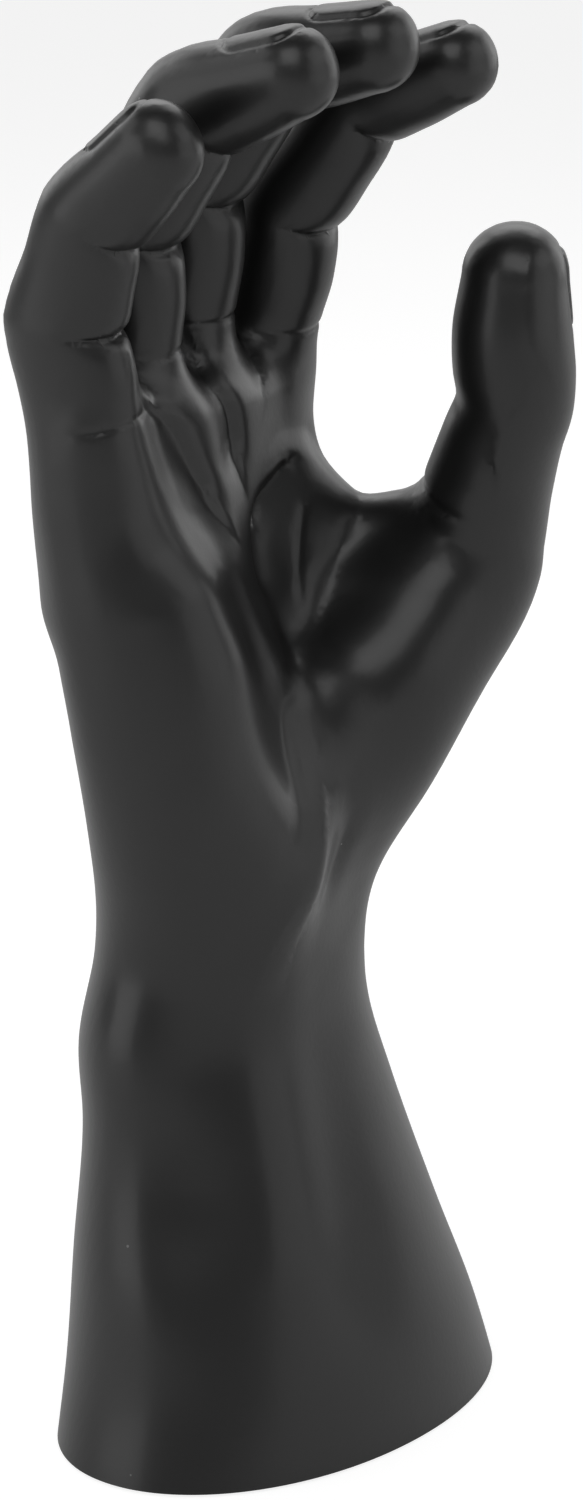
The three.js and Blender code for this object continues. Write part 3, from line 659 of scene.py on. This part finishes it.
THUMB_NAIL_WAY = np.array([0.88, -0.47, 0])
THUMB_JOINT_STATION = 6
OWN_REACH, OWN_FADE = 2.6, 1.2
BASE_CREASE_SHARE, NAIL_SHARE = 0.52, 0.6
thumb_nail_side = np.cross(THUMB_NAIL_WAY, thumb.ways[-1])
thumb_crease = thumb.along[STEPS_BETWEEN * THUMB_JOINT_STATION]


def hand_relief(p):
    """How far the skin stands out from the smooth hand. Creases and nails stay on the limb that owns them."""
    result = sum(stroke.relief(p) for stroke in strokes)
    for limb in (*fingers.values(), thumb):
        near = np.flatnonzero(limb.near(p))
        q = p[near]
        own = np.clip((OWN_REACH - np.abs(limb.distance(q))) / OWN_FADE, 0, 1)
        if limb is thumb:
            relief = crease_relief(limb, q, (thumb_crease,), depth=0.5, width=0.7)
            relief += nail_relief(q, limb.line[-1], limb.ways[-1], thumb_nail_side,
                                  half_wide=6.4, behind=9.5, before=5.0)
        else:
            knuckle, first, second = limb.stations[:3]
            base = knuckle + BASE_CREASE_SHARE * (first - knuckle)
            relief = crease_relief(limb, q, (base, first, second))
            relief += nail_relief(q, limb.joints[-1], limb.tip_way, limb.side,
                                  half_wide=limb.half_tip * NAIL_SHARE, behind=9.0, before=4.5)
        result[near] += own * relief
    return result

# %% [markdown]
# ## More triangles where the relief needs them
# An even mesh fine enough for a crease would be far too heavy for a forearm. So edges are split only where
# the relief at the middle of the edge differs from the mean of its ends, a few times over.

# %% Splitting edges where the relief bends
def split_edges(points, faces, wanted):
    """Splits the edges that wanted() picks, and divides the triangles on them without leaving a gap."""
    count = len(points)
    ends = np.sort(faces[:, [[0, 1], [1, 2], [2, 0]]].reshape(-1, 2), axis=1)
    keys, place = np.unique(ends[:, 0] * count + ends[:, 1], return_inverse=True)
    a, b = keys // count, keys % count
    split = wanted(points, a, b)
    middle = np.full(len(keys), -1)
    middle[split] = count + np.arange(split.sum())
    points = np.vstack([points, (points[a[split]] + points[b[split]]) / 2])
    middles = middle[place].reshape(-1, 3)
    cuts = (middles >= 0).sum(axis=1)
    done = [faces[cuts == 0]]
    for number, first in ((1, 0), (2, 2), (3, 0)):
        f, m = faces[cuts == number], middles[cuts == number]
        marked = m >= 0 if number == 1 else m < 0
        turn = (np.argmax(marked, axis=1) - first) % 3 if number < 3 else np.zeros(len(f), int)
        order = (np.arange(3)[None, :] + turn[:, None]) % 3
        f, m = np.take_along_axis(f, order, 1), np.take_along_axis(m, order, 1)
        (p0, p1, p2), (m01, m12, m20) = f.T, m.T
        if number == 1:
            new = [(p0, m01, p2), (m01, p1, p2)]
        elif number == 2:
            new = [(m01, p1, m12), (p0, m01, m12), (p0, m12, p2)]
        else:
            new = [(p0, m01, m20), (m01, p1, m12), (m20, m12, p2), (m01, m12, m20)]
        done += [np.stack(corners, axis=1) for corners in new]
    return points, np.vstack(done)


RELIEF_ERROR, SHORTEST_EDGE, SPLIT_ROUNDS = 0.02, 0.3, 3


def relief_bends(points, a, b):
    at_points = hand_relief(points)
    error = np.abs(hand_relief((points[a] + points[b]) / 2) - (at_points[a] + at_points[b]) / 2)
    return (error > RELIEF_ERROR) & (np.linalg.norm(points[a] - points[b], axis=1) > SHORTEST_EDGE)


for _ in range(SPLIT_ROUNDS):
    hand_points, hand_faces = split_edges(hand_points, hand_faces, relief_bends)
    print("after a round of splitting:", len(hand_faces), "triangles")
hand_points, hand_out = settle(hand_points, rounds=1)
hand_points = hand_points + hand_relief(hand_points)[:, None] * hand_out

# %% [markdown]
# ## The cut end
# The forearm ends in a flat rim with a seat for the base plate, and it is hollow above it. The mesh is cut at
# the rim, and rings of points go on from the cut: inward to the seat, up its wall, in under the ledge and up
# the inside to a dome. The rings repeat the heights of the CAD model's hollow and the widths of its rim and
# ledge. The four bosses are drawn as one band of their height. Above them the lining keeps a little further
# inside than in the CAD model, so that no furrow of the skin breaks through to the hollow.

# %% Cut, rim and hollow
RIM_WALL, LEDGE_WIDTH, WALL, FURROW_ROOM = 4, 3, 3.2, 3
PLATE_TOP, BOSS_TOP, HOLLOW_TOP, HOLLOW_DOME = 6.5, 19.5, WRIST + 55, 12
RING_SIDES, LINING_RINGS, DOME_ANGLES = 72, 9, (30, 55, 75)


def foot_oval(half_wide, half_deep, height):
    turn = math.radians(FOOT_TURN)
    angles = 2 * math.pi * np.arange(RING_SIDES) / RING_SIDES
    u, v = half_wide * np.cos(angles), half_deep * np.sin(angles)
    return np.stack([u * math.cos(turn) - v * math.sin(turn), u * math.sin(turn) + v * math.cos(turn),
                     np.full(RING_SIDES, float(height))], axis=1)


def arm_ring(height, inset):
    x, y, half, palm, back, turn, square = arm_at(np.array([float(height)]))[0]
    angles = 2 * math.pi * np.arange(RING_SIDES) / RING_SIDES
    u, v = np.cos(angles), np.sin(angles)
    depth = np.where(v > 0, back, palm)
    u = np.sign(u) * np.abs(u) ** (2 / square) * (half - inset)
    v = np.sign(v) * np.abs(v) ** (2 / square) * (depth - inset)
    c, s = math.cos(math.radians(turn)), math.sin(math.radians(turn))
    return np.stack([x + u * c - v * s, y + u * s + v * c, np.full(RING_SIDES, float(height))], axis=1)


seat_half_wide, seat_half_deep = FOOT_HALF_WIDTH - RIM_WALL, FOOT_HALF_DEPTH - RIM_WALL
inner_rings = [foot_oval(seat_half_wide, seat_half_deep, z) for z in (PAD_DROP, PLATE_TOP)]
inner_rings += [arm_ring(z, RIM_WALL + LEDGE_WIDTH) for z in (PLATE_TOP, BOSS_TOP)]
lining_heights = np.linspace(BOSS_TOP + LEDGE_WIDTH, HOLLOW_TOP - HOLLOW_DOME, LINING_RINGS)
inner_rings += [arm_ring(z, WALL + FURROW_ROOM) for z in lining_heights]
for angle in DOME_ANGLES:
    rise, draw = math.sin(math.radians(angle)), 1 - math.cos(math.radians(angle))
    height = HOLLOW_TOP - HOLLOW_DOME * (1 - rise)
    inner_rings.append(arm_ring(height, WALL + FURROW_ROOM + HOLLOW_DOME * draw))
print(len(inner_rings), "rings line the hollow")

# %% [markdown]
# ## The hand as a Blender mesh
# From here on sizes are in metres. Sharp edges are marked at the rim, its seat and the ledge alone, and all
# else is shaded smooth.

# %% Building the hand
def hand_mesh():
    mesh = bpy.data.meshes.new("hand")
    mesh.from_pydata((hand_points * MM).tolist(), [], hand_faces.tolist())
    shape = bmesh.new()
    shape.from_mesh(mesh)
    everything = shape.verts[:] + shape.edges[:] + shape.faces[:]
    bmesh.ops.bisect_plane(shape, geom=everything, plane_co=(0, 0, PAD_DROP * MM), plane_no=(0, 0, 1),
                           clear_inner=True)
    rim = [edge for edge in shape.edges if edge.is_boundary]
    rings = [[shape.verts.new(q * MM) for q in ring] for ring in inner_rings]
    following = [(i + 1) % RING_SIDES for i in range(RING_SIDES)]
    loops = [[shape.edges.new((ring[i], ring[j])) for i, j in enumerate(following)] for ring in rings]
    bmesh.ops.bridge_loops(shape, edges=rim + loops[0])
    for low, high in zip(rings, rings[1:]):
        for i, j in enumerate(following):
            shape.faces.new((low[j], low[i], high[i], high[j]))
    shape.faces.new(rings[-1])
    bmesh.ops.recalc_face_normals(shape, faces=shape.faces[:])
    for face in shape.faces:
        face.smooth = True
    for edge in rim + loops[0] + loops[1] + loops[2]:
        edge.smooth = False
    bmesh.ops.triangulate(shape, faces=[f for f in shape.faces if len(f.verts) > 4])
    open_edges = sum(not edge.is_manifold for edge in shape.edges)
    shape.to_mesh(mesh)
    shape.free()
    print("hand:", len(mesh.polygons), "faces,", open_edges, "open edges")
    return mesh


hand = bpy.data.objects.new("hand", hand_mesh())
bpy.context.scene.collection.objects.link(hand)
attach(hand, "root")
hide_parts("hand_shell")

# %% [markdown]
# ## Writing shader maths as Python
# A material is a tree of nodes. Long trees are hard to read, so this small class wraps a socket: adding or
# multiplying two of them adds the Math node that does it, and add_node adds any other kind.

# %% Shader helper
class Wire:
    """One output socket. Maths on it adds Math nodes to the same tree."""

    def __init__(self, tree, socket):
        self.tree = tree
        self.socket = socket

    def _maths(self, operation, first, second=None):
        return add_node(self.tree, "ShaderNodeMath", {"operation": operation}, {0: first, 1: second})

    def __add__(self, other):
        return self._maths("ADD", self, other)

    def __radd__(self, other):
        return self._maths("ADD", other, self)

    def __sub__(self, other):
        return self._maths("SUBTRACT", self, other)

    def __rsub__(self, other):
        return self._maths("SUBTRACT", other, self)

    def __mul__(self, other):
        return self._maths("MULTIPLY", self, other)

    def __rmul__(self, other):
        return self._maths("MULTIPLY", other, self)

    def over(self, edge):
        return self._maths("GREATER_THAN", self, edge)

    def clamped(self):
        return add_node(self.tree, "ShaderNodeClamp", {}, {0: self})


def add_node(tree, kind, settings, inputs, output=0):
    """Adds a node: settings first, then the values or links of its sockets. Gives one output as a Wire."""
    node = tree.nodes.new(kind)
    for name, value in settings.items():
        setattr(node, name, value)
    for name, value in inputs.items():
        if isinstance(value, Wire):
            tree.links.new(value.socket, node.inputs[name])
        elif value is not None:
            node.inputs[name].default_value = value
    return Wire(tree, node.outputs[output])


def new_material(name):
    material = bpy.data.materials.new(name)
    material.use_nodes = True
    material.node_tree.nodes.clear()
    return material, material.node_tree


def finish_material(tree, shader):
    end = tree.nodes.new("ShaderNodeOutputMaterial")
    tree.links.new(shader.socket, end.inputs["Surface"])


def grey(level):
    return (level, level, level, 1)

# %% [markdown]
# ## Satin black plastic
# The hand is moulded in black plastic with a satin skin: almost black where it reflects nothing, with broad
# soft highlights. A weak coat makes the highlights a little crisper. The roughness wanders, as on any
# moulding, and a very fine grain breaks up the reflections. A few specks of dust sit on it.

# %% Material of the hand
SPECK_RADIUS, SPECKLESS_SHARE = 0.035, 0.8
DARK_PLASTIC, PALE_PLASTIC, DUST = 0.005, 0.008, 0.12


def satin_black_plastic():
    material, tree = new_material("satin_black_plastic")
    place = add_node(tree, "ShaderNodeTexCoord", {}, {}, "Object")
    drift = add_node(tree, "ShaderNodeTexNoise", {}, {"Vector": place, "Scale": 28.0, "Detail": 3.0}, "Fac")
    grain = add_node(tree, "ShaderNodeTexNoise", {}, {"Vector": place, "Scale": 900.0, "Detail": 2.0}, "Fac")
    cells = add_node(tree, "ShaderNodeTexVoronoi", {}, {"Vector": place, "Scale": 120.0}, "Distance")
    lucky = add_node(tree, "ShaderNodeTexVoronoi", {}, {"Vector": place, "Scale": 120.0}, "Color")
    split = add_node(tree, "ShaderNodeSeparateColor", {}, {0: lucky}, "Red")
    speck = (SPECK_RADIUS - cells).over(0.0) * split.over(SPECKLESS_SHARE)
    base = add_node(tree, "ShaderNodeMix", {"data_type": "RGBA"},
                    {"Factor": drift, 6: grey(DARK_PLASTIC), 7: grey(PALE_PLASTIC)}, 2)
    dusty = add_node(tree, "ShaderNodeMix", {"data_type": "RGBA"},
                     {"Factor": speck, 6: base, 7: grey(DUST)}, 2)
    bump = add_node(tree, "ShaderNodeBump", {},
                    {"Strength": 0.12, "Distance": 0.2 * MM, "Height": grain}, "Normal")
    shader = add_node(tree, "ShaderNodeBsdfPrincipled", {}, {
        "Base Color": dusty, "Roughness": 0.36 + drift * 0.08, "IOR": 1.5, "Normal": bump,
        "Coat Weight": 0.2, "Coat Roughness": 0.2}, "BSDF")
    finish_material(tree, shader)
    return material


hand.data.materials.append(satin_black_plastic())

# %% [markdown]
# ## The pieces under the hand
# The plate, the iron weight on it, the four screws and the pad keep the shapes of the CAD model, because they
# are plain turned, cast and stamped pieces. Only a look from below or into the hollow shows them, but each is
# a different stuff, so each has a finish of its own: eroded plastic, rough cast iron, zinc and foam rubber.

# %% Materials of the pieces below
def grainy_material(name, dark, light, patch, roughness, grain, depth, metal=0.0):
    """A colour that drifts between two levels, with a fine grain. patch and grain are scales per metre."""
    material, tree = new_material(name)
    place = add_node(tree, "ShaderNodeTexCoord", {}, {}, "Object")
    drift = add_node(tree, "ShaderNodeTexNoise", {}, {"Vector": place, "Scale": patch, "Detail": 4.0}, "Fac")
    fine = add_node(tree, "ShaderNodeTexNoise", {}, {"Vector": place, "Scale": grain, "Detail": 3.0}, "Fac")
    share = ((drift - 0.35) * 3.3).clamped()
    colour = add_node(tree, "ShaderNodeMix", {"data_type": "RGBA"}, {"Factor": share, 6: dark, 7: light}, 2)
    bump = add_node(tree, "ShaderNodeBump", {}, {"Distance": depth * MM, "Height": fine}, "Normal")
    shader = add_node(tree, "ShaderNodeBsdfPrincipled", {}, {
        "Base Color": colour, "Roughness": (roughness - 0.12) + fine * 0.24, "Metallic": metal,
        "Normal": bump}, "BSDF")
    finish_material(tree, shader)
    return material


def foam_rubber():
    """Closed cells of several sizes, cut open at the surface, with painted shade: the colour darkens down
    into the open pores.
    """
    material, tree = new_material("foam_rubber")
    place = add_node(tree, "ShaderNodeTexCoord", {}, {}, "Object")
    cells = add_node(tree, "ShaderNodeTexVoronoi", {}, {"Vector": place, "Scale": 1100.0}, "Distance")
    pores = add_node(tree, "ShaderNodeTexVoronoi", {}, {"Vector": place, "Scale": 420.0}, "Distance")
    height = cells * 0.6 + (pores * 2.2).clamped() * 0.4
    # The colour follows the depth of the cells and is darker in the pores: painted shade.
    colour = add_node(tree, "ShaderNodeMix", {"data_type": "RGBA"},
                      {"Factor": height.clamped(), 6: grey(0.004), 7: grey(0.012)}, 2)
    bump = add_node(tree, "ShaderNodeBump", {}, {"Distance": 0.12 * MM, "Height": height}, "Normal")
    shader = add_node(tree, "ShaderNodeBsdfPrincipled", {}, {
        "Base Color": colour, "Roughness": 0.95 - height * 0.1, "Normal": bump}, "BSDF")
    finish_material(tree, shader)
    return material


def zinc_plate():
    """Bright zinc with a straw tint here and there, and the rings that turning leaves on a screw head."""
    material, tree = new_material("zinc_plate")
    place = add_node(tree, "ShaderNodeTexCoord", {}, {}, "Object")
    tint = add_node(tree, "ShaderNodeTexNoise", {}, {"Vector": place, "Scale": 260.0, "Detail": 3.0}, "Fac")
    rings = add_node(tree, "ShaderNodeTexWave", {"wave_type": "BANDS", "bands_direction": "Z"},
                     {"Vector": place, "Scale": 900.0, "Distortion": 1.5, "Detail": 2.0}, "Fac")
    share = ((tint - 0.4) * 3).clamped()
    colour = add_node(tree, "ShaderNodeMix", {"data_type": "RGBA"},
                      {"Factor": share, 6: (0.45, 0.46, 0.47, 1), 7: (0.50, 0.47, 0.38, 1)}, 2)
    bump = add_node(tree, "ShaderNodeBump", {}, {"Distance": 0.02 * MM, "Height": rings}, "Normal")
    shader = add_node(tree, "ShaderNodeBsdfPrincipled", {}, {
        "Base Color": colour, "Roughness": 0.26 + tint * 0.2, "Metallic": 1.0, "Normal": bump}, "BSDF")
    finish_material(tree, shader)
    return material


def dress(material, *nodes):
    for node in nodes:
        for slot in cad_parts[node].material_slots:
            slot.material = material
    print(material.name, "on", ", ".join(nodes))


dress(grainy_material("eroded_black_plastic", grey(0.019), grey(0.027),
                      patch=35.0, roughness=0.55, grain=1500.0, depth=0.06), "base_plate")
dress(grainy_material("cast_iron", (0.045, 0.043, 0.042, 1), (0.10, 0.075, 0.06, 1),
                      patch=70.0, roughness=0.72, grain=480.0, depth=0.35, metal=0.6), "ballast_block")
dress(zinc_plate(), "base_screw_1", "base_screw_2", "base_screw_3", "base_screw_4")
dress(foam_rubber(), "foot_pad")

# %% [markdown]
# ## Floor and backdrop
# The photograph has a white ground. The floor is a plain pale sheet that the camera sees as almost white, so
# that the soft shadow under the foot stays. A white backdrop stands behind the hand. With the floor it gives
# black plastic the pale rims that the photograph shows wherever the surface turns away. It is so far off that
# a camera on its side of the hand still stands in front of it.

# %% Floor and backdrop
def beside_camera(right, toward, up):
    """A place in metres by how far it is to the picture's right, toward the camera and up."""
    flat = Vector((to_eye.x, to_eye.y, 0)).normalized()
    return view_right * right + flat * toward + Vector((0, 0, up))


def stage_sheet(name, corners, material):
    mesh = bpy.data.meshes.new(name)
    mesh.from_pydata([tuple(corner) for corner in corners], [], [(0, 1, 2, 3)])
    mesh.materials.append(material)
    sheet = bpy.data.objects.new(name, mesh)
    bpy.context.scene.collection.objects.link(sheet)


def pale_sheet(name, level, white_level, in_picture, in_gloss):
    """A matt sheet. in_picture and in_gloss are how far it turns plain white to the camera and to gloss."""
    material, tree = new_material(name)
    camera_ray = add_node(tree, "ShaderNodeLightPath", {}, {}, "Is Camera Ray")
    glossy_ray = add_node(tree, "ShaderNodeLightPath", {}, {}, "Is Glossy Ray")
    clear_ray = add_node(tree, "ShaderNodeLightPath", {}, {}, "Is Transmission Ray")
    seen = camera_ray * in_picture + (glossy_ray + clear_ray) * in_gloss
    matt = add_node(tree, "ShaderNodeBsdfDiffuse", {}, {"Color": grey(level)}, "BSDF")
    white = add_node(tree, "ShaderNodeEmission", {}, {"Color": grey(1), "Strength": white_level}, "Emission")
    finish_material(tree, add_node(tree, "ShaderNodeMixShader", {}, {0: seen, 1: matt, 2: white}, "Shader"))
    return material


FLOOR_REACH, BACKDROP_AWAY, BACKDROP_HALF, BACKDROP_TALL = 9.0, 6.0, 8.5, 10.0
UNIT_CORNERS = ((-1, -1), (1, -1), (1, 1), (-1, 1))
floor_corners = [beside_camera(x * FLOOR_REACH, y * FLOOR_REACH, 0) for x, y in UNIT_CORNERS]
pale_floor = pale_sheet("pale_floor", level=0.8, white_level=1.42, in_picture=0.6, in_gloss=0.15)
stage_sheet("floor", floor_corners, pale_floor)
backdrop_corners = [beside_camera(x * BACKDROP_HALF, -BACKDROP_AWAY, (z + 1) / 2 * BACKDROP_TALL)
                    for x, z in UNIT_CORNERS]
white_backdrop = pale_sheet("white_backdrop", level=0.8, white_level=1.1, in_picture=0.9, in_gloss=0.9)
stage_sheet("backdrop", backdrop_corners, white_backdrop)

# %% [markdown]
# ## Light
# Gloss shows a lamp where the surface is turned half way toward it. So a low box to the left and one to the
# right draw the long soft highlights, and what faces the camera stays dark between them. The high boxes model
# the pads and the ball of the thumb, and those behind brighten the rims. A dim grey sky fills the rest.

# %% Soft boxes and sky
SKY_STRENGTH = 0.11
LOOK_AT = Vector((0, 0, 0.14))
world = bpy.data.worlds.new("studio")
world.use_nodes = True
bpy.context.scene.world = world
sky = world.node_tree.nodes["Background"]
sky.inputs["Color"].default_value = grey(1)
sky.inputs["Strength"].default_value = SKY_STRENGTH


def softbox(name, turn, rise, size, power, away=1.25):
    """A soft box by its turn from the camera's side to the picture's right, and its rise, in degrees."""
    turn, rise = math.radians(turn), math.radians(rise)
    lamp = bpy.data.lights.new(name, "AREA")
    lamp.shape = "RECTANGLE"
    lamp.size, lamp.size_y = size
    lamp.energy = power
    box = bpy.data.objects.new(name, lamp)
    way = beside_camera(math.sin(turn) * math.cos(rise), math.cos(turn) * math.cos(rise), math.sin(rise))
    box.location = LOOK_AT + away * way
    box.rotation_euler = way.to_track_quat("Z", "Y").to_euler()
    bpy.context.scene.collection.objects.link(box)


softbox("right_softbox", turn=66, rise=8, size=(1.2, 0.8), power=2.2)
softbox("high_right_softbox", turn=76, rise=38, size=(0.9, 0.6), power=1.8)
softbox("right_back_softbox", turn=122, rise=14, size=(0.8, 0.8), power=2.2)
softbox("left_softbox", turn=-64, rise=6, size=(1.0, 0.8), power=3.6)
softbox("high_left_softbox", turn=-92, rise=35, size=(0.9, 0.6), power=1.8)
softbox("left_back_softbox", turn=-128, rise=25, size=(0.8, 0.8), power=2.2)
softbox("high_front_softbox", turn=-10, rise=43, size=(0.9, 0.9), power=4.6)
softbox("high_back_softbox", turn=175, rise=48, size=(1.0, 0.7), power=3.0)
